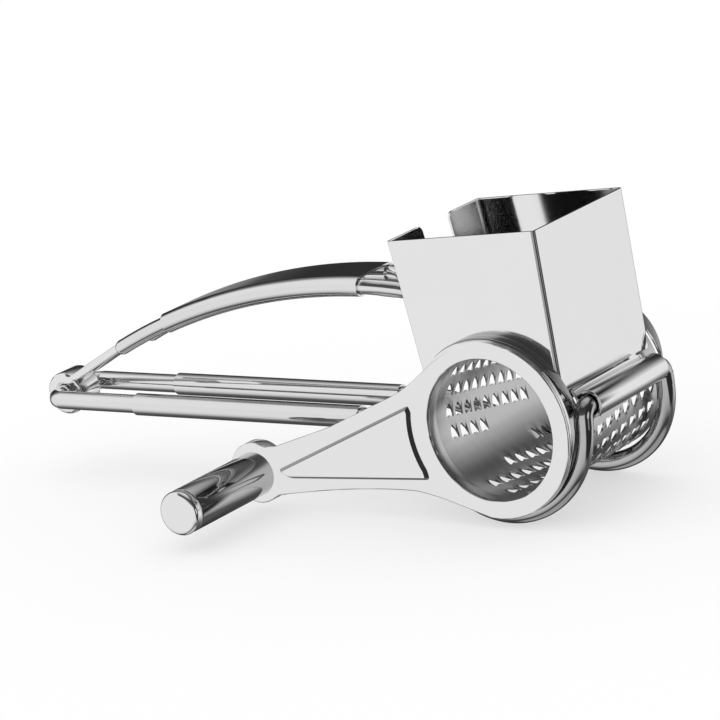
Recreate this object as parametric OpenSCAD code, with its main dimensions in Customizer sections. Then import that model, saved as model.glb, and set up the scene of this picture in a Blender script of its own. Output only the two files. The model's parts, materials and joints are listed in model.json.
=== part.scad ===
/* [Drum] */
// Outer diameter of the drum tube
drum_d = 47; // [46:0.2:47.2]
// Sheet thickness of the drum tube
drum_sheet = 0.8; // [0.6:0.1:0.9]
// Rows of teeth round the drum
tooth_rows = 22; // [10:1:22]
// Teeth in each row
teeth_per_row = 9; // [4:1:9]
// Spacing of the teeth along a row
tooth_pitch = 4.8; // [4.2:0.1:4.8]
// Turn of a row for each millimetre along the drum, in degrees
row_skew = 0.42; // [0:0.02:0.6]

/* [Crank] */
// Outer diameter of the crank ring
ring_d = 54; // [52:0.5:54]
// Diameter of the drum's mouth in the crank ring
mouth_d = 43.2; // [41:0.2:43.2]
// Thickness of the crank plate
plate_t = 1.3; // [1:0.1:1.5]
// Grip axis behind the drum axis
grip_back = 86.9; // [80:0.1:95]
// Grip axis below the drum axis
grip_drop = 17.7; // [14:0.1:20]
// Diameter of the crank's round end
round_end_d = 19; // [17:0.5:20]
// Diameter of the grip
grip_d = 13.7; // [12:0.1:15]
// Length of the grip with its cap
grip_l = 40; // [34:0.5:46]

/* [Frame] */
// Diameter of the frame wire
wire_d = 5.8; // [5.4:0.1:5.8]
// Rear crossbar behind the drum axis
hinge_back = 178.9; // [165:0.1:185]
// Lower arms below the drum axis
arm_drop = 4.8; // [3:0.1:6]
// Spacing of the lower arms
arm_spacing = 22; // [21:0.5:24]
// Outer diameter of the arm sleeves
sleeve_d = 7; // [6.8:0.1:7.6]
// Length of the arm sleeves
sleeve_l = 85.5; // [60:0.5:92]

/* [Hopper] */
// Outside width of the hopper
hopper_w = 49.6; // [49.2:0.1:50]
// Sheet thickness of the hopper
hopper_sheet = 0.8; // [0.6:0.1:0.9]
// Height of the hopper's rear edge above the drum axis
rear_top = 54.5; // [50:0.5:58]
// Height of the hopper's front edge above the drum axis
front_top = 58.7; // [54:0.5:62]
// Width of the slot between the rear flanges
slot_w = 14.6; // [14.4:0.2:18]
// Length of the roll round the front crossbar
roll_l = 38; // [34:0.5:38]

/* [Upper handle] */
// Diameter of the upper wires
upper_wire_d = 5; // [4.6:0.1:5.1]
// Spacing of the upper wires at the grip
upper_spacing = 15.2; // [14.6:0.2:16]
// Outer diameter of the grip's rolled edges
grip_roll_d = 6.4; // [6.2:0.1:6.8]
// Radius of the upper handle's bow
bow_r = 209; // [200:1:215]
// Outer diameter of the hinge barrel
barrel_d = 13.6; // [11:0.2:14]

/* [Hidden] */
$fn = 64;
bright = [0.86, 0.86, 0.87];
satin = [0.72, 0.72, 0.74];
dark = [0.25, 0.25, 0.27];

// Fits
running = 0.06;
loose = 0.1;
gap = 0.35;
weld_gap = 0.02;
// A straight run laps over the slightly thinner bend that follows it
lap = 0.4;
bend_thinner = 0.16;

// Frame: half rings under the drum, leaning out at the bottom
wire_r = wire_d / 2;
ring_r = 27.2;
ring_shift = 0.4;
ring_top_y = 22.9;
ring_foot_y = 25.2;
ring_lean = atan((ring_foot_y - ring_top_y) / ring_r);
ring_leave = 128;
front_bar = [ring_shift + ring_r, 5.7];
front_bend_r = 3.4;
arm_y = arm_spacing / 2;
arm_front = -50.5;
splay_x = -43;
splay_bend_r = 8;
rear_bend_r = 4;
hinge = [-hinge_back, 0, -arm_drop];
sleeve_front = -59.4;

// Drum
drum_r = drum_d / 2;
drum_bore_r = drum_r - drum_sheet;
drum_far = 28;
row_start = -17;
tooth = [[-1.6, 0], [-0.95, -2.6], [0, -3.8], [0.95, -2.6], [1.6, 0]];

// Crank
plate_front = -31;
plate_back = plate_front + plate_t;
mouth_r = mouth_d / 2;
collar_l = 5;
flange_t = 1;
grip_x = -grip_back;
grip_z = -grip_drop;
skirt_l = 4.6;
panel_h = 1.2;
// The panel's tip stays clear of a sleeve pushed onto the grip
panel_start = 8.4;
axle_d = 5;
axle_head_d = 9;
axle_head_t = 1.4;
grip_start = plate_front - gap;
cap_l = 3.2;
cap_round = 1.2;
axle_tip_gap = 1;

// Hopper
side_y = hopper_w / 2;
inner_y = side_y - hopper_sheet;
top_rear = [-31.8, rear_top];
top_front = [19.9, front_top];
low_front = [22.6, 10];
low_rear = [-24.6, 11.2];
arch_r = 26.6;
arch_start = 13;
arch_end = atan2(low_rear.y, low_rear.x);
arch_flange_y = plate_back + flange_t + gap;
roll_r = 4.3;
roll_bore_r = wire_r + 0.5;

// Upper handle
upper_r = upper_wire_d / 2;
upper_y = upper_spacing / 2;
bow_front = [-55.6, 35.3];
bow_angle = 27;
grip_angle = 21.2;
web_t = 0.7;
neck_y = 2.8;
neck_bend_r = 12;
neck_start = [-52.1, 35.3];
neck_end = [-43.1, 33];
shoe_gap = 1.2;
shoe_t = 1.2;
shoe_r = drum_r + shoe_gap;
shoe_angle = 40;
shoe_w = 44;
bracket_t = 1;
bracket_top = shoe_r + shoe_t + 1.6;
bracket_x = [-11, 9];
bracket_w = 12;
wire_on_bracket = bracket_top + upper_r + weld_gap;
strap_t = 2.6;
strap_low = 1.3;
strap_rise = 28.5;
strap_front_x = -142.6;
strap_l = (hinge_back + strap_front_x) / cos(strap_rise);
strap_start = (wire_d + barrel_d) / 4;
strap_w = upper_spacing - upper_wire_d - 2 * weld_gap;

// Origin at the centre of the box's bottom face
x_min = hinge.x - barrel_d / 2;
x_max = front_bar.x + roll_r;
y_min = grip_start - grip_l;
y_max = max(-arch_flange_y, ring_foot_y + wire_r);
z_min = -ring_r * cos(ring_lean) - (wire_d - bend_thinner) / 2;
to_origin = [-(x_min + x_max) / 2, -(y_min + y_max) / 2, -z_min];

function unit(v) = v / norm(v);

// Turn that carries the axes onto ex, ey and ez
function turn_to(ex, ey, ez) =
    abs(ex.z) > 0.99999
        ? [atan2(-sign(ex.z) * ey.x, ey.y), -90 * sign(ex.z), 0]
        : [atan2(ey.z, ez.z), -asin(ex.z), atan2(ex.y, ex.x)];

// Length that a bend of radius r takes from each straight run
function bend_take(u, v, r) = r * tan(acos(u * v) / 2);

// Straight round bar from a to b
module bar(a, b, d) {
    run = b - a;
    translate(a)
        rotate([0, acos(run.z / norm(run)), atan2(run.y, run.x)])
            cylinder(d = d, h = norm(run));
}

// Round bend at p, from direction u to direction v
module bend(p, u, v, r, d) {
    turn = acos(u * v);
    start = p - u * bend_take(u, v, r);
    centre = p + unit(v - u) * r / cos(turn / 2);
    ex = unit(start - centre);
    translate(centre)
        rotate(turn_to(ex, u, cross(ex, u)))
            rotate_extrude(angle = turn)
                translate([r, 0])
                    circle(d = d - bend_thinner);
}

// Wire through the points, with a bend of radius r at each inner point
module bent_wire(points, r, d) {
    last = len(points) - 1;
    run = [for (i = [0:last - 1]) unit(points[i + 1] - points[i])];
    take = [for (i = [0:last]) i == 0 || i == last ? 0 : bend_take(run[i - 1], run[i], r) - lap];
    for (i = [0:last - 1])
        bar(points[i] + run[i] * take[i], points[i + 1] - run[i] * take[i + 1], d);
    for (i = [1:1:last - 1])
        bend(points[i], run[i - 1], run[i], r, d);
}

// Sheet with a side view drawn in X and Z, from y = a to y = b
module side_sheet(a, b) {
    translate([0, b, 0])
        rotate([90, 0, 0])
            linear_extrude(b - a)
                children();
}

// Round body along Y, centred on x and z, from y = a to y = b
module along_y(x, z, a, b, r) {
    translate([x, a, z])
        rotate([-90, 0, 0])
            cylinder(r = r, h = b - a);
}

// Outline swept along the upper handle's bow, from its front end
module along_bow(y, angle) {
    translate([bow_front.x, y, bow_front.y - bow_r])
        rotate([90, 0, 0])
            rotate([0, 0, 90])
                rotate_extrude(angle = angle)
                    translate([bow_r, 0])
                        children();
}

module place() {
    translate(to_origin)
        children();
}

module far_side() {
    mirror([0, 1, 0])
        children();
}

module frame_rear_bar() {
    color(bright)
        place()
            bent_wire([
                [hinge.x + rear_bend_r, -arm_y, hinge.z],
                [hinge.x, -arm_y, hinge.z],
                [hinge.x, arm_y, hinge.z],
                [hinge.x + rear_bend_r, arm_y, hinge.z]], rear_bend_r - weld_gap, wire_d);
}

module arm() {
    bar([hinge.x + rear_bend_r, -arm_y, hinge.z], [arm_front, -arm_y, hinge.z], wire_d);
}

module frame_arm_near() {
    color(bright)
        place()
            arm();
}

module frame_arm_far() {
    color(bright)
        place()
            far_side()
                arm();
}

// Point and heading on the leaning ring, at an angle above the front
function on_ring(a) = [
    ring_shift + ring_r * cos(a),
    -ring_top_y + ring_r * sin(a) * sin(ring_lean),
    ring_r * sin(a) * cos(ring_lean)];
function along_ring(a) = [sin(a), -cos(a) * sin(ring_lean), -cos(a) * cos(ring_lean)];

module ring() {
    translate([ring_shift, -ring_top_y, 0])
        rotate([90 - ring_lean, 0, 0])
            rotate([0, 0, -ring_leave])
                rotate_extrude(angle = ring_leave)
                    translate([ring_r, 0])
                        circle(d = wire_d - bend_thinner);
    bent_wire([
        on_ring(0) + lap * along_ring(0),
        [front_bar.x, -ring_top_y + front_bar.y * tan(ring_lean), front_bar.y],
        [front_bar.x, -roll_l / 2 - loose, front_bar.y]], front_bend_r, wire_d);
    bent_wire([
        on_ring(-ring_leave) - lap * along_ring(-ring_leave),
        on_ring(-ring_leave) + 6 * along_ring(-ring_leave),
        [splay_x, -arm_y, hinge.z],
        [arm_front, -arm_y, hinge.z]], splay_bend_r, wire_d);
}

module frame_ring_near() {
    color(bright)
        place()
            ring();
}

module frame_ring_far() {
    color(bright)
        place()
            far_side()
                ring();
}

module frame_front_bar() {
    color(bright)
        place()
            along_y(front_bar.x, front_bar.y, -roll_l / 2 - loose, roll_l / 2 + loose, wire_r);
}

module sleeve() {
    translate([sleeve_front, -arm_y, hinge.z])
        rotate([0, -90, 0])
            difference() {
                cylinder(d = sleeve_d, h = sleeve_l);
                translate([0, 0, -1])
                    cylinder(d = wire_d + 2 * loose, h = sleeve_l + 2);
            }
}

module lower_sleeve_near() {
    color(bright)
        place()
            sleeve();
}

module lower_sleeve_far() {
    color(bright)
        place()
            far_side()
                sleeve();
}

// Front wall, tongue and roll
module hopper_front() {
    color(bright)
        place() {
            side_sheet(-inner_y + weld_gap, inner_y - weld_gap)
                polygon([
                    top_front, low_front,
                    low_front - [hopper_sheet, 0], top_front - [hopper_sheet, 0]]);
            difference() {
                union() {
                    along_y(front_bar.x, front_bar.y, -roll_l / 2, roll_l / 2, roll_r);
                    side_sheet(-roll_l / 2, roll_l / 2)
                        polygon([
                            low_front - [hopper_sheet, 0], low_front + [0, 0.8],
                            front_bar + [-1, roll_r - 0.3], front_bar + [-2.6, 2.6]]);
                }
                along_y(front_bar.x, front_bar.y, -roll_l / 2 - 1, roll_l / 2 + 1, roll_bore_r);
            }
        }
}

module side_outline() {
    polygon([top_rear, top_front, low_front, low_rear]);
}

// Side wall with its flange over the drum
module hopper_side() {
    difference() {
        side_sheet(-side_y, -inner_y)
            side_outline();
        along_y(0, 0, -side_y - 1, -inner_y + 1, arch_r);
    }
    rotate([90, 0, 0])
        rotate([0, 0, arch_start])
            rotate_extrude(angle = arch_end - arch_start)
                translate([arch_r, inner_y])
                    square([hopper_sheet, -arch_flange_y - inner_y]);
}

module hopper_side_near() {
    color(bright)
        place()
            hopper_side();
}

module hopper_side_far() {
    color(bright)
        place()
            far_side()
                hopper_side();
}

module hopper_rear() {
    side_sheet(-inner_y + weld_gap, -slot_w / 2)
        polygon([
            top_rear, top_rear + [hopper_sheet, 0],
            low_rear + [hopper_sheet, 6], low_rear + [-1, 6]]);
}

module hopper_rear_near() {
    color(bright)
        place()
            hopper_rear();
}

module hopper_rear_far() {
    color(bright)
        place()
            far_side()
                hopper_rear();
}

module strap_outline() {
    difference() {
        union() {
            circle(d = barrel_d);
            rotate(strap_rise)
                translate([strap_start, strap_low])
                    square([strap_l - strap_start, strap_t]);
        }
        circle(r = wire_r + running);
    }
}

module hinge_strap() {
    color(bright)
        place()
            side_sheet(-strap_w / 2, strap_w / 2)
                translate([hinge.x, hinge.z])
                    strap_outline();
}

module upper_wire() {
    along_bow(-upper_y, bow_angle)
        circle(d = upper_wire_d - bend_thinner);
    translate([bow_front.x, -upper_y, bow_front.y - bow_r])
        rotate([0, -bow_angle, 0])
            translate([0, 0, bow_r])
                sphere(d = upper_wire_d - 2 * bend_thinner);
    bent_wire([
        [bow_front.x - lap, -upper_y, bow_front.y],
        [neck_start.x, -upper_y, neck_start.y],
        [neck_end.x, -neck_y, neck_end.y],
        [bracket_x[0] - 2, -neck_y, wire_on_bracket],
        [bracket_x[1], -neck_y, wire_on_bracket]], neck_bend_r, upper_wire_d);
}

module upper_wire_near() {
    color(bright)
        place()
            upper_wire();
}

module upper_wire_far() {
    color(bright)
        place()
            far_side()
                upper_wire();
}

// Sheet grip with its long edges rolled round the wires
module upper_grip() {
    color(bright)
        place()
            difference() {
                union() {
                    for (y = [-upper_y, upper_y])
                        along_bow(y, grip_angle)
                            circle(d = grip_roll_d);
                    along_bow(upper_y, grip_angle)
                        translate([grip_roll_d / 2 - web_t, 0])
                            square([web_t, upper_spacing]);
                }
                for (y = [-upper_y, upper_y])
                    along_bow(y, grip_angle)
                        circle(d = upper_wire_d + 2 * loose);
            }
}

module presser_shoe() {
    color(satin)
        place()
            rotate([90, 0, 0])
                rotate([0, 0, 90 - shoe_angle])
                    rotate_extrude(angle = 2 * shoe_angle)
                        translate([shoe_r, -shoe_w / 2])
                            square([shoe_t, shoe_w]);
}

module presser_bracket() {
    color(satin)
        place()
            difference() {
                translate([bracket_x[0], -bracket_w / 2, shoe_r - 4])
                    cube([bracket_x[1] - bracket_x[0], bracket_w, bracket_top - shoe_r + 4]);
                along_y(0, 0, -bracket_w, bracket_w, shoe_r + shoe_t + weld_gap);
                translate([bracket_x[0] - 1, -bracket_w / 2 + bracket_t, shoe_r - 5])
                    cube([
                        bracket_x[1] - bracket_x[0] + 2, bracket_w - 2 * bracket_t,
                        bracket_top - bracket_t - shoe_r + 5]);
            }
}

module tooth_hole(angle, y) {
    rotate([0, -angle, 0])
        translate([drum_r - 2, y, 0])
            rotate([90, 0, 90])
                linear_extrude(4)
                    polygon(tooth);
}

module drum_tube() {
    color(satin)
        place()
            difference() {
                along_y(0, 0, plate_back, drum_far, drum_r);
                along_y(0, 0, plate_back - 1, drum_far + 1, drum_bore_r);
                for (row = [0:tooth_rows - 1], i = [0:teeth_per_row - 1])
                    tooth_hole(
                        360 * row / tooth_rows + row_skew * i * tooth_pitch,
                        row_start + i * tooth_pitch);
            }
}

module drum_flange() {
    color(bright)
        place()
            difference() {
                along_y(0, 0, plate_back + weld_gap, plate_back + flange_t, ring_d / 2);
                along_y(0, 0, plate_back - 1, plate_back + flange_t + 1, drum_r + weld_gap);
            }
}

// Crank arm as seen from the crank side
module arm_outline() {
    difference() {
        union() {
            circle(d = ring_d);
            polygon([
                [-8, 25.2], [-17.8, 19.5], [-29.7, 10.5], [-57, -1.6],
                [grip_x + 7, grip_z + round_end_d / 2 - 1],
                [grip_x + 7, grip_z - round_end_d / 2 + 2.4],
                [-45.5, -20.6], [-27.5, -20.2], [-20.5, -21.4], [-3.7, -26.5]]);
            translate([grip_x, grip_z])
                circle(d = round_end_d);
        }
        circle(r = mouth_r);
    }
}

module panel_outline() {
    difference() {
        polygon([
            [grip_x + panel_start, -16.2], [grip_x + panel_start + 3.5, -18.7], [-24, -16.2], [-20, -10],
            [-26, 6.4], [-27.6, 6.2]]);
        circle(r = ring_d / 2);
    }
}

module crank_plate() {
    color(bright)
        place()
            difference() {
                union() {
                    side_sheet(plate_front, plate_back)
                        arm_outline();
                    side_sheet(plate_front - panel_h, plate_front + 0.2)
                        panel_outline();
                    along_y(grip_x, grip_z, plate_front, plate_front + skirt_l, round_end_d / 2);
                    difference() {
                        along_y(0, 0, plate_front, plate_front + collar_l, drum_bore_r - weld_gap);
                        along_y(0, 0, plate_front - 1, plate_front + collar_l + 1, mouth_r);
                    }
                }
                along_y(grip_x, grip_z, plate_back, plate_front + skirt_l + 1, round_end_d / 2 - plate_t);
                along_y(grip_x, grip_z, plate_front - 1, plate_back + 1, axle_d / 2 + weld_gap);
            }
}

module grip_axle() {
    color(satin)
        place() {
            along_y(grip_x, grip_z, y_min + cap_l + axle_tip_gap, plate_back + weld_gap, axle_d / 2);
            along_y(grip_x, grip_z, plate_back + weld_gap, plate_back + axle_head_t, axle_head_d / 2);
        }
}

module grip_tube() {
    color(dark)
        place()
            difference() {
                along_y(grip_x, grip_z, y_min + cap_l, grip_start, grip_d / 2);
                along_y(grip_x, grip_z, y_min, grip_start + 1, axle_d / 2 + running);
            }
}

module grip_cap() {
    color(bright)
        place()
            translate([grip_x, y_min, grip_z])
                rotate([-90, 0, 0])
                    rotate_extrude()
                        difference() {
                            square([grip_d / 2, cap_l - weld_gap]);
                            translate([grip_d / 2 - cap_round, 0])
                                difference() {
                                    square(cap_round);
                                    translate([0, cap_round])
                                        circle(r = cap_round);
                                }
                            translate([grip_d / 2, cap_l - 0.5])
                                circle(r = 0.4);
                        }
}

frame_rear_bar();
frame_arm_near();
frame_arm_far();
frame_ring_near();
frame_ring_far();
frame_front_bar();
lower_sleeve_near();
lower_sleeve_far();
hopper_front();
hopper_side_near();
hopper_side_far();
hopper_rear_near();
hopper_rear_far();
hinge_strap();
upper_wire_near();
upper_wire_far();
upper_grip();
presser_shoe();
presser_bracket();
drum_tube();
drum_flange();
crank_plate();
grip_axle();
grip_tube();
grip_cap();
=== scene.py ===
import json
import math

import bmesh
import bpy
from mathutils import Matrix, Vector


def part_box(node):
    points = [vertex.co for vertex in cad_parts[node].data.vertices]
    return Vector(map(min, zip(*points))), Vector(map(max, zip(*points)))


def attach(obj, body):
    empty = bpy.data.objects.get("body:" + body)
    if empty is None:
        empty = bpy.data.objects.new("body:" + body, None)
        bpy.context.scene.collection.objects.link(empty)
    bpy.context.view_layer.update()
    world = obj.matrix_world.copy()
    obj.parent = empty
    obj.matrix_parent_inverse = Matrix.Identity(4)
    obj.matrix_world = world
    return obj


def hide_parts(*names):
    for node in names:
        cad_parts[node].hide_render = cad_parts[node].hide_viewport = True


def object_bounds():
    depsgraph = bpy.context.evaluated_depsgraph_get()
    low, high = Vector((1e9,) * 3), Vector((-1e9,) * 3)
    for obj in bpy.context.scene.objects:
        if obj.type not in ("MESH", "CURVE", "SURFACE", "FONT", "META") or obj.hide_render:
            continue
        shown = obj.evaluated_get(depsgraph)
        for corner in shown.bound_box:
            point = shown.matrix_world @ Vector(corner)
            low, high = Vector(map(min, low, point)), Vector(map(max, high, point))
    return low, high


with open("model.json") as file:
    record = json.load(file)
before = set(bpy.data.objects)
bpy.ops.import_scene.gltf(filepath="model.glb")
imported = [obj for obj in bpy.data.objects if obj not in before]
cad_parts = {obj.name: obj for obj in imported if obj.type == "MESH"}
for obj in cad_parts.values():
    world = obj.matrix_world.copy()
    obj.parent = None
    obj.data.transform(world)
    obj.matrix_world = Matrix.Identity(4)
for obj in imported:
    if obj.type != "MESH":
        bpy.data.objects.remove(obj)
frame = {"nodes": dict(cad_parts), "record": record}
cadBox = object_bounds()
scene = bpy.context.scene
mm = 0.001
plateBack = -29.7  # the drum tube starts here, at the back of the crank plate
drumLow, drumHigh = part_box("drum_tube")
axisX = (drumLow.x + drumHigh.x) / 2
axisZ = (drumLow.z + drumHigh.z) / 2
midY = drumLow.y - plateBack * mm


def at(x, y, z):
    # millimetres from the middle of the drum axis, to metres in the part's frame
    return Vector((axisX + x * mm, midY + y * mm, axisZ + z * mm))


def linked(name, data):
    made = bpy.data.objects.new(name, data)
    scene.collection.objects.link(made)
    return made


def meshFrom(bm, name):
    mesh = bpy.data.meshes.new(name)
    bm.to_mesh(mesh)
    bm.free()
    return mesh


def settled(maker):
    # final mesh of an object that is needed no longer
    bpy.context.view_layer.update()
    view = bpy.context.evaluated_depsgraph_get()
    mesh = bpy.data.meshes.new_from_object(maker.evaluated_get(view))
    bpy.data.objects.remove(maker)
    return mesh


# camera at the photograph's viewing angle

cameraView = {
    "place": (731.227, -1076.742, 362.735),
    "right": (0.81708, 0.56096, -0.13307),
    "up": (-0.03958, 0.28484, 0.95776),
    "lens": 228.6,
    "sensor": 36,
    "reach": 50,
}


def makeCamera(s):
    right = Vector(s["right"]).normalized()
    up = Vector(s["up"]).normalized()
    back = right.cross(up).normalized()
    turn = Matrix((right, back.cross(right), back)).transposed().to_4x4()
    data = bpy.data.cameras.new("photoCamera")
    data.sensor_width = s["sensor"]
    data.lens = s["lens"]
    data.clip_end = s["reach"]
    cam = linked("photoCamera", data)
    cam.matrix_world = Matrix.Translation(at(*s["place"])) @ turn
    scene.camera = cam


makeCamera(cameraView)
print("camera set")


# studio: white surround, with the dark and bright areas that polished steel mirrors

# tones by height, from straight down at 0 to straight up at 1
nearLow = [(0, 0.55), (0.04, 0.5), (0.07, 0.08), (0.1, 0.1), (0.13, 0.3),
           (0.16, 0.5), (0.2, 0.68), (0.25, 0.78), (0.36, 0.86), (0.6, 0.84)]

studio = {
    "floorTone": (1.0, 1.0, 1.0, 1),
    "floorSize": 8.0,
    "floorGlow": 0.55,
    "floorDrop": 0.0002,
    "tones": {
        "near": nearLow + [(0.76, 0.88), (0.86, 0.87), (1, 0.8)],
        "nearRight": nearLow + [(0.69, 0.1), (0.9, 0.06), (1, 0.5)],
        "behindLeft": [(0, 0.55), (0.04, 0.5), (0.07, 0.06), (0.12, 0.06), (0.2, 0.09), (0.34, 0.12),
                       (0.41, 0.3), (0.46, 0.2), (0.5, 0.06), (0.56, 0.03), (0.7, 0.03), (0.76, 0.12),
                       (0.84, 0.25), (0.89, 0.6), (0.95, 0.8), (1, 0.8)],
        "behindRight": [(0, 0.55), (0.04, 0.5), (0.08, 0.15), (0.19, 0.15), (0.215, 0.3), (0.24, 0.45),
                        (0.28, 0.68), (0.34, 0.84), (0.58, 0.84), (0.66, 0.58), (0.735, 0.33),
                        (0.78, 0.15), (0.81, 0.02), (0.86, 0.02), (0.93, 0.5), (1, 0.7)],
    },
    # dark card at the far right
    "cardTone": 0.04,
    # where one area fades into the next, in X or Y of the direction looked at
    "nearFade": (-0.5, -0.42),
    "behindFade": (-0.15, 0.4),
    "backFade": (-0.15, 0.3),
    "cardStart": (0.68, 0.8),
    "cardEnd": (0.968, 0.985),
}


def setStops(ramp, stops):
    while len(ramp.elements) > 1:
        ramp.elements.remove(ramp.elements[-1])
    ramp.interpolation = "EASE"
    for i, (place, tone) in enumerate(stops):
        e = ramp.elements[0] if i == 0 else ramp.elements.new(place)
        e.position = place
        e.color = (tone, tone, tone, 1)


def makeWorld(s):
    world = bpy.data.worlds.new("studioSurround")
    scene.world = world
    world.use_nodes = True
    nt = world.node_tree
    nt.nodes.clear()
    new, link = nt.nodes.new, nt.links.new
    coord = new("ShaderNodeTexCoord")
    split = new("ShaderNodeSeparateXYZ")
    link(coord.outputs["Generated"], split.inputs[0])
    height = new("ShaderNodeMath")  # Z of the direction, brought to 0 to 1
    height.operation = "MULTIPLY_ADD"
    height.inputs[1].default_value = 0.5
    height.inputs[2].default_value = 0.5
    link(split.outputs["Z"], height.inputs[0])
    tones = {}
    for key, stops in s["tones"].items():
        ramp = new("ShaderNodeValToRGB")
        setStops(ramp.color_ramp, stops)
        link(height.outputs[0], ramp.inputs[0])
        tones[key] = ramp.outputs[0]

    def fade(axis, ends, a, b):
        share = new("ShaderNodeMapRange")
        share.interpolation_type = "SMOOTHSTEP"
        share.inputs["From Min"].default_value = ends[0]
        share.inputs["From Max"].default_value = ends[1]
        link(split.outputs[axis], share.inputs["Value"])
        mix = new("ShaderNodeMix")
        mix.data_type = "RGBA"
        link(share.outputs[0], mix.inputs["Factor"])
        link(a, mix.inputs["A"])
        if isinstance(b, float):
            mix.inputs["B"].default_value = (b, b, b, 1)
        else:
            link(b, mix.inputs["B"])
        return mix.outputs["Result"]

    near = fade("X", s["nearFade"], tones["near"], tones["nearRight"])
    behind = fade("X", s["behindFade"], tones["behindLeft"], tones["behindRight"])
    surround = fade("Y", s["backFade"], near, behind)
    intoCard = fade("X", s["cardStart"], surround, s["cardTone"])
    carded = fade("X", s["cardEnd"], intoCard, tones["near"])
    mirrored = new("ShaderNodeBackground")
    link(carded, mirrored.inputs["Color"])
    white = new("ShaderNodeBackground")
    white.inputs["Color"].default_value = (1, 1, 1, 1)
    path = new("ShaderNodeLightPath")
    choose = new("ShaderNodeMixShader")
    link(path.outputs["Is Glossy Ray"], choose.inputs[0])
    link(white.outputs[0], choose.inputs[1])
    link(mirrored.outputs[0], choose.inputs[2])
    link(choose.outputs[0], new("ShaderNodeOutputWorld").inputs["Surface"])


def makeFloor(s):
    half = s["floorSize"] / 2
    corners = [(-half, -half, 0), (half, -half, 0), (half, half, 0), (-half, half, 0)]
    mesh = bpy.data.meshes.new("paleFloor")
    mesh.from_pydata(corners, [], [(0, 1, 2, 3)])
    floor = linked("paleFloor", mesh)
    floor.location.z = cadBox[0][2] - s["floorDrop"]
    mat = bpy.data.materials.new("floorPaper")
    mat.use_nodes = True
    nt = mat.node_tree
    nt.nodes.clear()
    new, link = nt.nodes.new, nt.links.new
    paper = new("ShaderNodeBsdfDiffuse")
    paper.inputs["Color"].default_value = s["floorTone"]
    glow = new("ShaderNodeEmission")
    glow.inputs["Color"].default_value = s["floorTone"]
    path = new("ShaderNodeLightPath")
    share = new("ShaderNodeMath")
    share.operation = "MULTIPLY"
    share.inputs[1].default_value = s["floorGlow"]
    link(path.outputs["Is Camera Ray"], share.inputs[0])
    mix = new("ShaderNodeMixShader")
    link(share.outputs[0], mix.inputs[0])
    link(paper.outputs[0], mix.inputs[1])
    link(glow.outputs[0], mix.inputs[2])
    link(mix.outputs[0], new("ShaderNodeOutputMaterial").inputs["Surface"])
    mesh.materials.append(mat)
    floor.visible_glossy = False


makeWorld(studio)
makeFloor(studio)
scene.view_settings.view_transform = "Standard"
print("studio set")


# steel finishes, two of them darker copies that paint in shade

finishes = {
    "polishedSheet": {"tone": 0.88, "toneShift": 0.02, "rough": 0.12, "roughShift": 0.03},
    "crankSheet": {"tone": 0.89, "toneShift": 0.015, "rough": 0.16, "roughShift": 0.02},
    "hopperSheet": {"tone": 0.89, "toneShift": 0.015, "rough": 0.08, "roughShift": 0.02},
    "polishedWire": {"tone": 0.83, "toneShift": 0.03, "rough": 0.08, "roughShift": 0.03},
    "mirrorGrip": {"tone": 0.82, "toneShift": 0.03, "rough": 0.07, "roughShift": 0.03},
    # painted shade: a darker copy of the polished steel that stands in for the dark reflections on the grip
    # barrel and the frame rings
    "paintedShadeSteel": {"tone": 0.52, "toneShift": 0.03, "rough": 0.06, "roughShift": 0.03},
    # painted shade: a dark copy of the sheet for the crank panel's slopes, the hopper's front folds and its arch
    # flanges
    "paintedShadeFold": {"tone": 0.38, "toneShift": 0.02, "rough": 0.2, "roughShift": 0.03},
    "satinDrum": {"tone": 0.6, "toneShift": 0.05, "rough": 0.2, "roughShift": 0.05,
                  "grain": 0.1, "stretch": (0.3, 6, 0.3)},
}

wear = {
    "markScale": 45,
    "markDetail": 5,
    "grainScale": 900,
    "grainDeep": 0.00005,
}


def makeFinish(name, s):
    mat = bpy.data.materials.new(name)
    mat.use_nodes = True
    nt = mat.node_tree
    new, link = nt.nodes.new, nt.links.new
    shader = nt.nodes["Principled BSDF"]
    shader.inputs["Metallic"].default_value = 1.0
    coord = new("ShaderNodeTexCoord")
    mapping = new("ShaderNodeMapping")
    mapping.inputs["Scale"].default_value = s.get("stretch", (1, 1, 1))
    link(coord.outputs["Object"], mapping.inputs["Vector"])
    cloud = new("ShaderNodeTexNoise")  # faint handling marks
    cloud.inputs["Scale"].default_value = wear["markScale"]
    cloud.inputs["Detail"].default_value = wear["markDetail"]
    link(mapping.outputs[0], cloud.inputs["Vector"])

    def about(middle, shift):
        span = new("ShaderNodeMapRange")
        span.inputs["To Min"].default_value = middle - shift
        span.inputs["To Max"].default_value = middle + shift
        link(cloud.outputs["Fac"], span.inputs["Value"])
        return span.outputs[0]

    tone = about(s["tone"], s["toneShift"])
    gray = new("ShaderNodeCombineColor")
    for i in range(3):
        link(tone, gray.inputs[i])
    link(gray.outputs[0], shader.inputs["Base Color"])
    link(about(s["rough"], s["roughShift"]), shader.inputs["Roughness"])
    if "grain" in s:
        fine = new("ShaderNodeTexNoise")  # polishing lines
        fine.inputs["Scale"].default_value = wear["grainScale"]
        link(mapping.outputs[0], fine.inputs["Vector"])
        bump = new("ShaderNodeBump")
        bump.inputs["Strength"].default_value = s["grain"]
        bump.inputs["Distance"].default_value = wear["grainDeep"]
        link(fine.outputs["Fac"], bump.inputs["Height"])
        link(bump.outputs[0], shader.inputs["Normal"])
    return mat


steel = {name: makeFinish(name, s) for name, s in finishes.items()}
slotFinish = {
    "polished_sheet": "polishedSheet",
    "polished_wire": "polishedWire",
    "satin_sheet": "satinDrum",
    "mirror_grip": "mirrorGrip",
}
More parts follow.
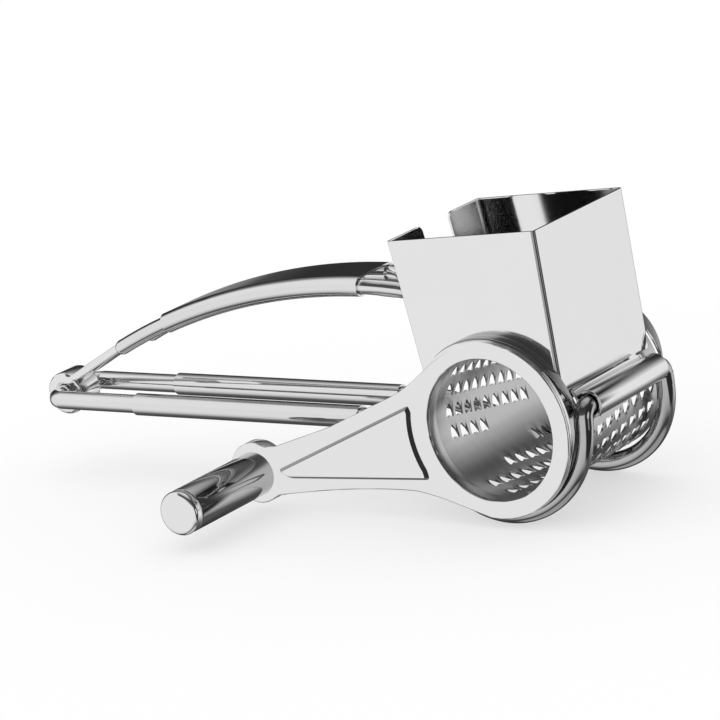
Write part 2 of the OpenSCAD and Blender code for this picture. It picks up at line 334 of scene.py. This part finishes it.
# painted shade: the frame rings take the darker steel copy instead of their polished wire
nodeFinish = {"frame_ring_near": "paintedShadeSteel", "frame_ring_far": "paintedShadeSteel"}
for entry in frame["record"]["subparts"]:
    node = frame["nodes"][entry["node"]]
    node.data.materials.clear()
    usual = slotFinish[entry["material_slot"]]
    node.data.materials.append(steel[nodeFinish.get(entry["node"], usual)])
print("finishes made")


def addPiece(name, mesh, finishNames, body, replaced):
    for poly in mesh.polygons:
        poly.use_smooth = True
    for finish in finishNames:
        mesh.materials.append(steel[finish])
    piece = linked(name, mesh)
    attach(piece, body)
    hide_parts(*replaced)
    return piece


# drum: one tooth cell repeated over the tube by Geometry Nodes

drum = {
    "outerR": 23.5,
    "sheet": 0.5,
    "rows": 22,
    "teeth": 9,
    "pitch": 4.8,
    "firstTooth": -17.0,
    "skew": 0.42,
    "turnOffset": -3.45,
    "toothWide": 3.6,
    "toothTall": 4.4,
    # closed tooth outline in halves of its width and in its height, tip first
    "toothLine": [(-0.36, -0.36), (-0.16, -0.7), (0.12, -0.93), (0.42, -1.0), (0.5, -0.9), (0.5, -0.5),
                  (0.4, -0.25), (0.38, 0), (0.4, 0.25), (0.5, 0.5), (0.5, 0.9), (0.42, 1.0),
                  (0.12, 0.93), (-0.16, 0.7), (-0.36, 0.36), (-0.5, 0)],
    "lip": 0.25,
    "lipGrow": 1.12,
    "cellSteps": 6,
    # row and the stretch of the drum where that row has teeth; the other rows are full
    "shortRows": {1: (-18, 0), 2: (14, 24), 3: (-6, 24)},
    "fullRow": (-99, 99),
    "nearEnd": plateBack,
    "farEnd": 28.0,
    "weld": 0.02,
    "sharp": 35,
}


def cellWide(s):
    return 2 * math.pi * s["outerR"] / s["rows"]


def cellBorder(s):
    wide, tall, count = cellWide(s), s["pitch"], s["cellSteps"]
    corners = [(-wide / 2, -tall / 2), (wide / 2, -tall / 2), (wide / 2, tall / 2), (-wide / 2, tall / 2)]
    line = []
    for a, b in zip(corners, corners[1:] + corners[:1]):
        for i in range(count):
            line.append((a[0] + (b[0] - a[0]) * i / count, a[1] + (b[1] - a[1]) * i / count))
    return line


def evenly(points, count):
    # closed line, resampled to points an equal distance apart
    loop = [Vector(p) for p in points] + [Vector(points[0])]
    steps = [(b - a).length for a, b in zip(loop, loop[1:])]
    line, i, done = [], 0, 0.0
    for k in range(count):
        goal = sum(steps) * k / count
        while done + steps[i] < goal:
            done += steps[i]
            i += 1
        line.append(loop[i].lerp(loop[i + 1], (goal - done) / steps[i]))
    return line


def toothCell(s):
    # flat cell: X round the drum, Y along it, Z outwards, with a pointed hole and a raised tip
    border = cellBorder(s)
    tooth = [(u * s["toothTall"], v * s["toothWide"] / 2) for u, v in s["toothLine"]]
    hole = evenly(tooth, len(border))
    bm = bmesh.new()
    rings = [[bm.verts.new((x * mm, y * mm, 0)) for x, y in border]]
    for grow, lift in ((s["lipGrow"], 0.0), (1.0, s["lip"])):
        ring = []
        for p in hole:
            up = lift * (0.5 - p.x / s["toothTall"]) * mm
            ring.append(bm.verts.new((p.x * grow * mm, p.y * grow * mm, up)))
        rings.append(ring)
    for outer, inner in zip(rings, rings[1:]):
        n = len(outer)
        for i in range(n):
            bm.faces.new((outer[i], outer[(i + 1) % n], inner[(i + 1) % n], inner[i]))
    return meshFrom(bm, "toothCell")


def plainCell(s):
    bm = bmesh.new()
    bmesh.ops.create_grid(bm, x_segments=s["cellSteps"], y_segments=s["cellSteps"], size=0.5)
    bmesh.ops.scale(bm, vec=(cellWide(s) * mm, s["pitch"] * mm, 1), verts=bm.verts)
    return meshFrom(bm, "plainCell")


def cellSpots(s):
    # one point for each cell, marked where a tooth is cut
    spots, toothed = [], []
    for row in range(s["rows"]):
        low, high = s["shortRows"].get(row, s["fullRow"])
        for i in range(s["teeth"]):
            along = s["firstTooth"] + i * s["pitch"]
            spots.append(((row - (s["rows"] - 1) / 2) * cellWide(s) * mm, along * mm, 0))
            toothed.append(low < along < high)
    mesh = bpy.data.meshes.new("cellSpots")
    mesh.from_pydata(spots, [], [])
    mesh.attributes.new("toothed", "BOOLEAN", "POINT").data.foreach_set("value", toothed)
    return mesh


def drumNodes(s, cells, labels):
    # puts a cell on each point and wraps them all round the drum
    tree = bpy.data.node_groups.new("perforatedDrum", "GeometryNodeTree")
    face = tree.interface
    face.new_socket("Geometry", in_out="INPUT", socket_type="NodeSocketGeometry")
    face.new_socket("Geometry", in_out="OUTPUT", socket_type="NodeSocketGeometry")
    for label in labels:
        face.new_socket(label, in_out="INPUT", socket_type="NodeSocketFloat")
    new, link = tree.nodes.new, tree.links.new
    given = new("NodeGroupInput")
    out = new("NodeGroupOutput")
    marked = new("GeometryNodeInputNamedAttribute")
    marked.data_type = "BOOLEAN"
    marked.inputs["Name"].default_value = "toothed"
    bare = new("FunctionNodeBooleanMath")
    bare.operation = "NOT"
    link(marked.outputs["Attribute"], bare.inputs[0])
    both = new("GeometryNodeJoinGeometry")
    for cell, chosen in zip(cells, (marked.outputs["Attribute"], bare.outputs[0])):
        info = new("GeometryNodeObjectInfo")
        info.inputs["Object"].default_value = cell
        put = new("GeometryNodeInstanceOnPoints")
        link(given.outputs["Geometry"], put.inputs["Points"])
        link(chosen, put.inputs["Selection"])
        link(info.outputs["Geometry"], put.inputs["Instance"])
        link(put.outputs[0], both.inputs[0])
    real = new("GeometryNodeRealizeInstances")
    link(both.outputs[0], real.inputs[0])
    place = new("GeometryNodeInputPosition")
    split = new("ShaderNodeSeparateXYZ")
    link(place.outputs[0], split.inputs[0])

    def calc(operation, a, b=None):
        n = new("ShaderNodeMath")
        n.operation = operation
        link(a, n.inputs[0])
        if b is not None:
            link(b, n.inputs[1])
        return n.outputs[0]

    around, along, outwards = (split.outputs[k] for k in "XYZ")
    outerR = given.outputs["Outer Radius"]
    turned = calc("ADD", calc("DIVIDE", around, outerR), given.outputs["Turn Offset"])
    angle = calc("ADD", turned, calc("MULTIPLY", along, given.outputs["Skew"]))
    radius = calc("ADD", outerR, outwards)
    wrapped = new("ShaderNodeCombineXYZ")
    link(calc("MULTIPLY", radius, calc("COSINE", angle)), wrapped.inputs["X"])
    link(along, wrapped.inputs["Y"])
    link(calc("MULTIPLY", radius, calc("SINE", angle)), wrapped.inputs["Z"])
    wrap = new("GeometryNodeSetPosition")
    link(real.outputs[0], wrap.inputs["Geometry"])
    link(wrapped.outputs[0], wrap.inputs["Position"])
    weld = new("GeometryNodeMergeByDistance")
    weld.inputs["Distance"].default_value = s["weld"] * mm
    link(wrap.outputs[0], weld.inputs["Geometry"])
    link(weld.outputs[0], out.inputs[0])
    return tree


def addPlainBands(bm, s):
    # from the toothed part to both ends
    low = (s["firstTooth"] - s["pitch"] / 2) * mm
    high = (s["firstTooth"] + (s["teeth"] - 0.5) * s["pitch"]) * mm
    for rim, target in ((low, s["nearEnd"] * mm), (high, s["farEnd"] * mm)):
        edges = [e for e in bm.edges if e.is_boundary and all(abs(v.co.y - rim) < 1e-6 for v in e.verts)]
        grown = bmesh.ops.extrude_edge_only(bm, edges=edges)["geom"]
        for v in grown:
            if isinstance(v, bmesh.types.BMVert):
                v.co.y = target
    bmesh.ops.remove_doubles(bm, verts=bm.verts, dist=1e-6)


def turnOutwards(bm):
    bmesh.ops.recalc_face_normals(bm, faces=bm.faces)
    outward = 0.0
    for f in bm.faces:
        middle = f.calc_center_median()
        outward += f.normal.dot(Vector((middle.x, 0, middle.z)))
    if outward < 0:
        bmesh.ops.reverse_faces(bm, faces=bm.faces)


def makeDrum(s):
    values = {
        "Outer Radius": s["outerR"] * mm,
        "Skew": math.radians(s["skew"]) / mm,
        "Turn Offset": math.radians(s["turnOffset"]),
    }
    cells = [linked("toothCell", toothCell(s)), linked("plainCell", plainCell(s))]
    holder = linked("drumMaker", cellSpots(s))
    mod = holder.modifiers.new("perforatedDrum", "NODES")
    mod.node_group = drumNodes(s, cells, values)
    for item in mod.node_group.interface.items_tree:
        if item.name in values:
            mod[item.identifier] = values[item.name]
    skin = settled(holder)
    for cell in cells:
        bpy.data.objects.remove(cell)
    bm = bmesh.new()
    bm.from_mesh(skin)
    addPlainBands(bm, s)
    turnOutwards(bm)
    bmesh.ops.translate(bm, verts=bm.verts, vec=at(0, 0, 0))
    shell = linked("shellMaker", meshFrom(bm, "perforatedDrum"))
    thick = shell.modifiers.new("sheet", "SOLIDIFY")
    thick.thickness = s["sheet"] * mm
    thick.offset = -1
    mesh = settled(shell)
    mesh.set_sharp_from_angle(angle=math.radians(s["sharp"]))
    return addPiece("perforatedDrum", mesh, ["satinDrum"], "crank", ["drum_tube"])


makeDrum(drum)
print("drum made")


# flat sheets with rounded edges, drawn as closed outlines

sharpEdge = math.radians(30)
# outlines are drawn with X across and Z up
sideOn = Matrix(((1, 0, 0), (0, 0, 1), (0, -1, 0))).transposed().to_4x4()


def arcPoints(cx, cz, r, first, last, count):
    turn = [math.radians(first + (last - first) * i / count) for i in range(count + 1)]
    return [(cx + r * math.cos(t), cz + r * math.sin(t)) for t in turn]


def smoothThrough(points, steps):
    # open curve through the points, ends included
    ends = [(2 * points[0][0] - points[1][0], 2 * points[0][1] - points[1][1])]
    ends += points + [(2 * points[-1][0] - points[-2][0], 2 * points[-1][1] - points[-2][1])]
    line = []
    for i in range(1, len(ends) - 2):
        p0, p1, p2, p3 = (Vector(p) for p in ends[i - 1:i + 3])
        square = 2 * p0 - 5 * p1 + 4 * p2 - p3
        cube = 3 * p1 - p0 - 3 * p2 + p3
        for k in range(steps):
            t = k / steps
            p = 0.5 * (2 * p1 + (p2 - p0) * t + square * t * t + cube * t ** 3)
            line.append((p.x, p.y))
    return line + [points[-1]]


def roundCorners(points, radius, steps):
    # closed outline with each corner turned into a small arc
    most, least = 0.45, 0.02  # share of a side that a corner may take, and length that stays a plain corner
    line = []
    for i, p in enumerate(points):
        p = Vector(p)
        a = Vector(points[i - 1]) - p
        b = Vector(points[(i + 1) % len(points)]) - p
        r = radius[i] if isinstance(radius, list) else radius
        take = min(r, a.length * most, b.length * most)
        if take < least:
            line.append((p.x, p.y))
            continue
        start, end = p + a.normalized() * take, p + b.normalized() * take
        for k in range(steps + 1):
            t = k / steps
            q = start * (1 - t) ** 2 + p * 2 * t * (1 - t) + end * t * t
            line.append((q.x, q.y))
    return line


def outlineMesh(name, outlines, middle, thick, edge, slope=None):
    # thick spreads both ways from the plane at middle;
    # a slope gives a plain edge that is this many times as high as it is wide
    curve = bpy.data.curves.new(name, "CURVE")
    curve.dimensions = "2D"
    curve.fill_mode = "BOTH"
    for outline in outlines:
        spline = curve.splines.new("POLY")
        spline.points.add(len(outline) - 1)
        for p, (u, v) in zip(spline.points, outline):
            p.co = (u * mm, v * mm, 0, 1)
        spline.use_cyclic_u = True
    curve.extrude = (thick / 2 - edge) * mm
    curve.bevel_depth = edge * mm
    curve.bevel_resolution = 0 if slope else 2
    curve.offset = -edge * mm
    mesh = settled(linked(name, curve))
    stretch = Matrix.Diagonal((1, 1, slope or 1, 1))
    mesh.transform(Matrix.Translation(at(0, middle, 0)) @ sideOn @ stretch)
    return mesh


def revolved(profile, centre, first=0.0, last=360.0, count=96):
    # closed profile of (radius, y) in millimetres, turned about an axis along Y
    tiny = 1e-7
    bm = bmesh.new()
    full = last - first >= 360
    rings = []
    for i in range(count + (0 if full else 1)):
        t = math.radians(first + (last - first) * i / count)
        ring = []
        for r, y in profile:
            ring.append(bm.verts.new(centre + Vector((r * math.cos(t), y, r * math.sin(t))) * mm))
        rings.append(ring)
    for i in range(count):
        a, b = rings[i], rings[(i + 1) % len(rings)]
        for k in range(len(profile)):
            j = (k + 1) % len(profile)
            bm.faces.new((a[k], a[j], b[j], b[k]))
    if not full:
        bm.faces.new(rings[0])
        bm.faces.new(rings[-1])
    bmesh.ops.remove_doubles(bm, verts=bm.verts, dist=tiny)
    bmesh.ops.dissolve_degenerate(bm, edges=bm.edges, dist=tiny)
    bmesh.ops.recalc_face_normals(bm, faces=bm.faces)
    return meshFrom(bm, "revolved")


def joined(name, meshes):
    bm = bmesh.new()
    for m in meshes:
        bm.from_mesh(m)
        bpy.data.meshes.remove(m)
    mesh = meshFrom(bm, name)
    mesh.materials.clear()
    mesh.set_sharp_from_angle(angle=sharpEdge)
    return mesh


def softRing(inner, outer, low, high, r):
    # ring section with rounded corners, as (radius, y)
    return roundCorners([(inner, low), (outer, low), (outer, high), (inner, high)], r, 3)


# crank: ring, arm with its raised panel, and the round end with a turned-back edge

crank = {
    "front": -31.0,
    "thick": 1.3,
    "edge": 0.35,
    # arcs are first and last angle and number of steps
    "ringR": 27.0,
    "ringArc": (-97, 107, 84),
    "mouthR": 21.6,
    "mouthArc": (0, 356.25, 95),
    "collarR": 22.65,
    "collarStart": 0.2,
    "collarDeep": 5.0,
    "collarRound": 0.2,
    "grip": (-86.9, -17.7),
    "roundEndR": 9.5,
    "roundEndArc": (62, 298, 40),
    "skirtStart": 0.3,
    "skirtDeep": 4.6,
    "skirtThick": 1.3,
    "skirtRound": 0.5,
    "skirtSteps": 64,
    "upperEdge": [(-17.7, 19.6), (-29.7, 10.8), (-42.5, 4.9), (-57, -1.5), (-70, -6.0), (-78.6, -8.9)],
    "lowerEdge": [(-79.4, -24.4), (-71.6, -23.2), (-58, -21.5), (-45.5, -20.5), (-35, -20.1),
                  (-27.5, -20.3), (-19.5, -21.9)],
    "edgeSteps": 4,
    "panelHigh": 1.14,
    "panelEdge": 0.95,
    "panelTip": [(-27.7, 6.4), (-78.5, -16.2), (-75.0, -18.7), (-23.2, -16.3)],
    "panelTipRound": [2.2, 1.4, 2.0, 3.0],
    # the panel's end follows the ring
    "panelRingR": 27.3,
    "panelRingArc": (209, 171, 10),
    "panelSteps": 8,
    # slopes lie this far in front of the plate and face less than this share forwards
    "slopeStart": 0.1,
    "slopeFacing": 0.9,
}


def makeCrank(s):
    gx, gz = s["grip"]
    front, endR, edgeW = s["front"], s["roundEndR"], s["panelEdge"]
    outline = arcPoints(0, 0, s["ringR"], *s["ringArc"])
    outline += smoothThrough(s["upperEdge"], s["edgeSteps"])
    outline += arcPoints(gx, gz, endR, *s["roundEndArc"])
    outline += smoothThrough(s["lowerEdge"], s["edgeSteps"])
    mouth = arcPoints(0, 0, s["mouthR"], *s["mouthArc"])
    plate = outlineMesh("crankPlate", [outline, mouth], front + s["thick"] / 2, s["thick"], s["edge"])
    beside = arcPoints(0, 0, s["panelRingR"], *s["panelRingArc"])
    radii = s["panelTipRound"] + [0] * len(beside)
    panelLine = roundCorners(s["panelTip"] + beside, radii, s["panelSteps"])
    panel = outlineMesh("crankPanel", [panelLine], front, 2 * edgeW, edgeW, s["panelHigh"] / edgeW)
    collarLow, collarHigh = front + s["collarStart"], front + s["collarDeep"]
    collarRing = softRing(s["mouthR"], s["collarR"], collarLow, collarHigh, s["collarRound"])
    collar = revolved(collarRing, at(0, 0, 0))
    skirtLow, skirtHigh = front + s["skirtStart"], front + s["skirtDeep"]
    skirtRing = softRing(endR - s["skirtThick"], endR, skirtLow, skirtHigh, s["skirtRound"])
    skirt = revolved(skirtRing, at(gx, 0, gz), count=s["skirtSteps"])
    mesh = joined("crankArm", [plate, panel, collar, skirt])
    for poly in mesh.polygons:
        # the collar's inside is satin like the drum, and the panel's slopes get painted shade
        out = poly.center - at(0, 0, 0)
        if math.hypot(out.x, out.z) < s["mouthR"] * mm:
            poly.material_index = 1
        elif out.y < (front - s["slopeStart"]) * mm and abs(poly.normal.y) < s["slopeFacing"]:
            poly.material_index = 2
    finishNames = ["crankSheet", "satinDrum", "paintedShadeFold"]
    return addPiece("crankArm", mesh, finishNames, "crank", ["crank_plate"])


makeCrank(crank)
print("crank made")


# grip: tube that spins on its axle, with a groove before the end cap

handGrip = {
    "radius": 6.85,
    "bore": 2.6,
    "start": -31.35,
    "capStart": -68.15,
    "end": -71.35,
    "groove": 0.45,
    # edges as steps in from the radius and along from the start, the groove or the cap
    "startRound": [(0.5, 0), (0.12, 0.15), (0, 0.5)],
    "grooveRound": [(0, 0.6), (0.15, 0.2)],
    "tubeGap": 0.02,
    "capGap": 0.04,
    "capLip": (0.1, 0.35),
    "capRound": 1.3,
    "capSteps": 6,
    "capFlat": (0.6, 0.02),
}


def makeGrip(s):
    r, start, capStart, end, soft = s["radius"], s["start"], s["capStart"], s["end"], s["capRound"]
    centre = at(crank["grip"][0], 0, crank["grip"][1])
    tubeEnd = capStart + s["tubeGap"]
    tube = [(s["bore"], start)]
    tube += [(r - inward, start - along) for inward, along in s["startRound"]]
    tube += [(r - inward, capStart + along) for inward, along in s["grooveRound"]]
    tube += [(r - s["groove"], tubeEnd), (s["bore"], tubeEnd)]
    barrel = joined("gripBarrel", [revolved(tube, centre)])
    # painted shade: the barrel takes the darker steel copy to stand in for its dark reflections
    barrelPiece = addPiece("gripBarrel", barrel, ["paintedShadeSteel"], "grip", ["grip_tube"])
    capLow = capStart - s["capGap"]
    cap = [(0, capLow), (r - s["groove"], capLow), (r - s["capLip"][0], capStart - s["capLip"][1])]
    for i in range(s["capSteps"] + 1):
        t = math.radians(90 * i / s["capSteps"])
        cap.append((r - soft * (1 - math.cos(t)), end + soft * (1 - math.sin(t))))
    inward, dish = s["capFlat"]
    cap += [(r - soft - inward, end + dish), (0, end + dish)]
    tip = joined("gripCap", [revolved(cap, centre)])
    tipPiece = addPiece("gripCap", tip, ["polishedSheet"], "grip", ["grip_cap"])
    for piece in (barrelPiece, tipPiece, frame["nodes"]["grip_axle"]):
        piece.visible_glossy = False  # the plate's finish shows no image of the grip


makeGrip(handGrip)
print("grip made")


# hinge strap: barrel on the rear crossbar and a leg up to the grip, with rounded edges

strap = {
    "hinge": (-178.9, -4.8),
    "barrelR": 6.8,
    "barrelSteps": 60,
    "boreR": 2.96,
    "boreArc": (0, 352.5, 47),
    "rise": 28.5,
    "legLow": 1.3,
    "legThick": 2.6,
    "legLength": 41.3,
    "wide": 10.16,
    "edge": 1.0,
}


def makeStrap(s):
    hx, hz = s["hinge"]
    low, high = s["legLow"], s["legLow"] + s["legThick"]
    first = math.degrees(math.asin(high / s["barrelR"]))
    last = 360 + math.degrees(math.asin(low / s["barrelR"]))
    line = arcPoints(0, 0, s["barrelR"], first, last, s["barrelSteps"])
    line += [(s["legLength"], low), (s["legLength"], high)]
    c, n = math.cos(math.radians(s["rise"])), math.sin(math.radians(s["rise"]))
    line = [(hx + u * c - v * n, hz + u * n + v * c) for u, v in line]
    bore = arcPoints(hx, hz, s["boreR"], *s["boreArc"])
    mesh = joined("hingeStrap", [outlineMesh("hingeStrap", [line, bore], 0, s["wide"], s["edge"])])
    return addPiece("hingeStrap", mesh, ["polishedSheet"], "upper_handle", ["hinge_strap"])


makeStrap(strap)
print("strap made")


# hopper: folded sheet with arches over the drum, a rear slot and a roll on the front crossbar

hopper = {
    "halfWide": 24.8,
    "sheet": 0.8,
    "edge": 0.22,
    "edgeFrom": 50,
    "edgeRow": 0.4,
    "rows": 24,
    "topRear": (-31.8, 54.5),
    "topFront": (19.9, 58.7),
    "lowFront": (22.6, 10.0),
    "lowRear": (-24.6, 11.2),
    "foldR": 1.3,
    "rearFoldR": 0.8,
    "foldSteps": 6,
    "slotHalf": 7.3,
    "slotRound": 2.0,
    "slotColumns": 12,
    "slotCrowd": 1.7,
    "sideColumns": 48,
    "frontColumns": 8,
    "rearLow": 17.2,
    "archR": 26.6,
    "archLeast": 8,
    "archSheet": 0.8,
    "archSoft": 0.25,
    "archRoot": 0.4,
    "archOut": 28.35,
    "archStart": 13.0,
    "archSteps": 64,
    "archTaper": 32.0,
    "archNarrow": 0.1,
    # tongue from the foot of the front wall, then to a place beside the roll
    "tongueFoot": [(0, 0.4), (0.2, -0.8)],
    "tongueEnd": (-4.25, 2.0),
    "tongueSteps": 4,
    "rollAt": (27.6, 5.7),
    "rollR": 3.85,
    "rollArc": (165, 482, 72),
    "rollSheet": 0.9,
    "rollHalf": 19.0,
    "rollEdge": 0.15,
    # faces with painted shade: flanges beyond the walls, and folds that face this much forwards and sideways
    "paintedShadeOut": 0.1,
    "paintedShadeAround": 1,
    "paintedShadeFacing": 0.2,
}


def foldedWall(s):
    # outer skin of the folded sheet, from one slot edge round to the other, in columns from bottom to top
    tr, tf, lf, lr = (Vector(s[k]) for k in ("topRear", "topFront", "lowFront", "lowRear"))
    r, q, half, archR = s["foldR"], s["rearFoldR"], s["halfWide"], s["archR"]
    steps, rows = s["foldSteps"], s["rows"]

    def frontX(z):
        return lf.x + (tf.x - lf.x) * (z - lf.y) / (tf.y - lf.y)

    def rearX(z):
        return lr.x + (tr.x - lr.x) * (z - lr.y) / (tr.y - lr.y)

    def sideX(z, w):
        return (rearX(z) + q) * (1 - w) + (frontX(z) - r) * w

    def archZ(w):
        # the leaning wall's foot on the arch, found by closing in on it
        z = 20.0
        for _ in range(20):
            z = math.sqrt(max(archR ** 2 - sideX(z, w) ** 2, s["archLeast"] ** 2))
        return z

    columns = []  # each one is the place at a height, the bottom and the top
    count = s["slotColumns"]
    for i in range(count + 1):
        gone = (half - q - s["slotHalf"]) * (i / count) ** s["slotCrowd"]
        drop = max(0.0, s["slotRound"] - gone)
        drop = s["slotRound"] - math.sqrt(s["slotRound"] ** 2 - drop ** 2)
        columns.append((lambda z, y=-s["slotHalf"] - gone: (rearX(z), y), s["rearLow"], tr.y - drop))
    for i in range(1, steps + 1):
        a = math.radians(90 * i / steps)
        low = s["rearLow"] + (archZ(0) - s["rearLow"]) * i / steps
        columns.append((lambda z, a=a: (rearX(z) + q - q * math.cos(a), q - half - q * math.sin(a)), low, tr.y))
    count = s["sideColumns"]
    for i in range(1, count):
        w = 0.5 - 0.5 * math.cos(math.pi * i / count)
        columns.append((lambda z, w=w: (sideX(z, w), -half), archZ(w), tr.y + (tf.y - tr.y) * w))
    for i in range(steps + 1):
        a = math.radians(90 * i / steps)
        low = archZ(1) + (lf.y - archZ(1)) * i / steps
        columns.append((lambda z, a=a: (frontX(z) - r + r * math.sin(a), r - half - r * math.cos(a)), low, tf.y))
    count = s["frontColumns"]
    for i in range(1, count + 1):
        columns.append((lambda z, y=(r - half) * (1 - i / count): (frontX(z), y), lf.y, tf.y))
    line = []
    for place, low, top in columns:
        heights = [low + (top - low) * k / rows for k in range(rows + 1)]
        # narrow rows keep the walls' shading flat
        heights[1], heights[-2] = low + s["edgeRow"], top - s["edgeRow"]
        line.append([(*place(z), z) for z in heights])
    line += [[(x, -y, z) for x, y, z in column] for column in line[-2::-1]]
    bm = bmesh.new()
    grid = [[bm.verts.new(at(*p)) for p in column] for column in line]
    for a, b in zip(grid, grid[1:]):
        for k in range(rows):
            bm.faces.new((a[k], b[k], b[k + 1], a[k + 1]))
    maker = linked("foldedWall", meshFrom(bm, "foldedWall"))
    thick = maker.modifiers.new("sheet", "SOLIDIFY")
    thick.thickness = s["sheet"] * mm
    thick.offset = -1
    thick.use_even_offset = True
    soft = maker.modifiers.new("softEdge", "BEVEL")
    soft.width = s["edge"] * mm
    soft.segments = 2
    soft.limit_method = "ANGLE"
    soft.angle_limit = math.radians(s["edgeFrom"])
    return settled(maker)


def archFlange(s, sign):
    # turned out over the drum, narrower towards both ends
    inner = sign * (s["halfWide"] - s["archRoot"])
    low, high = sorted((inner, sign * s["archOut"]))
    last = math.degrees(math.atan2(s["lowRear"][1], s["lowRear"][0]))
    ring = softRing(s["archR"], s["archR"] + s["archSheet"], low, high, s["archSoft"])
    flange = revolved(ring, at(0, 0, 0), s["archStart"], last, s["archSteps"])
    root = at(0, inner, 0).y
    least = s["archNarrow"]
    for v in flange.vertices:
        turn = math.degrees(math.atan2(v.co.z - axisZ, v.co.x - axisX))
        share = min(1.0, max(0.0, min(turn - s["archStart"], last - turn) / s["archTaper"]))
        v.co.y = root + (v.co.y - root) * (least + (1 - least) * share * (2 - share))
    return flange


def tongueAndRoll(s):
    # one sheet seen from the end
    footX, footZ = s["lowFront"][0] - s["sheet"] / 2, s["lowFront"][1]
    rx, rz = s["rollAt"]
    points = [(footX + x, footZ + z) for x, z in s["tongueFoot"]]
    points.append((rx + s["tongueEnd"][0], rz + s["tongueEnd"][1]))
    path = smoothThrough(points, s["tongueSteps"])
    path += arcPoints(rx, rz, s["rollR"], *s["rollArc"])
    h = s["rollSheet"] / 2
    left, right = [], []
    for i, p in enumerate(path):
        d = Vector(path[min(i + 1, len(path) - 1)]) - Vector(path[max(i - 1, 0)])
        n = Vector((-d.y, d.x)).normalized()
        left.append((p[0] + n.x * h, p[1] + n.y * h))
        right.append((p[0] - n.x * h, p[1] - n.y * h))
    return outlineMesh("hopperRoll", [left + right[::-1]], 0, 2 * s["rollHalf"], s["rollEdge"])


def makeHopper(s):
    mesh = joined("foldedHopper", [foldedWall(s), archFlange(s, -1), archFlange(s, 1), tongueAndRoll(s)])
    facing = s["paintedShadeFacing"]
    for poly in mesh.polygons:
        # the front folds and the flanges get painted shade
        out = (poly.center - at(0, 0, 0)) / mm
        beyond = abs(out.y) > s["halfWide"] + s["paintedShadeOut"]
        flange = beyond and math.hypot(out.x, out.z) < s["archR"] + s["paintedShadeAround"]
        atFront = out.x > 0 and out.z > s["lowFront"][1]
        sideways = poly.normal.y * out.y > facing * abs(out.y)
        poly.material_index = int(flange or (atFront and poly.normal.x > facing and sideways))
    replaced = ["hopper_front", "hopper_side_near", "hopper_side_far", "hopper_rear_near", "hopper_rear_far"]
    return addPiece("foldedHopper", mesh, ["hopperSheet", "paintedShadeFold"], "frame", replaced)


makeHopper(hopper)
print("hopper made")
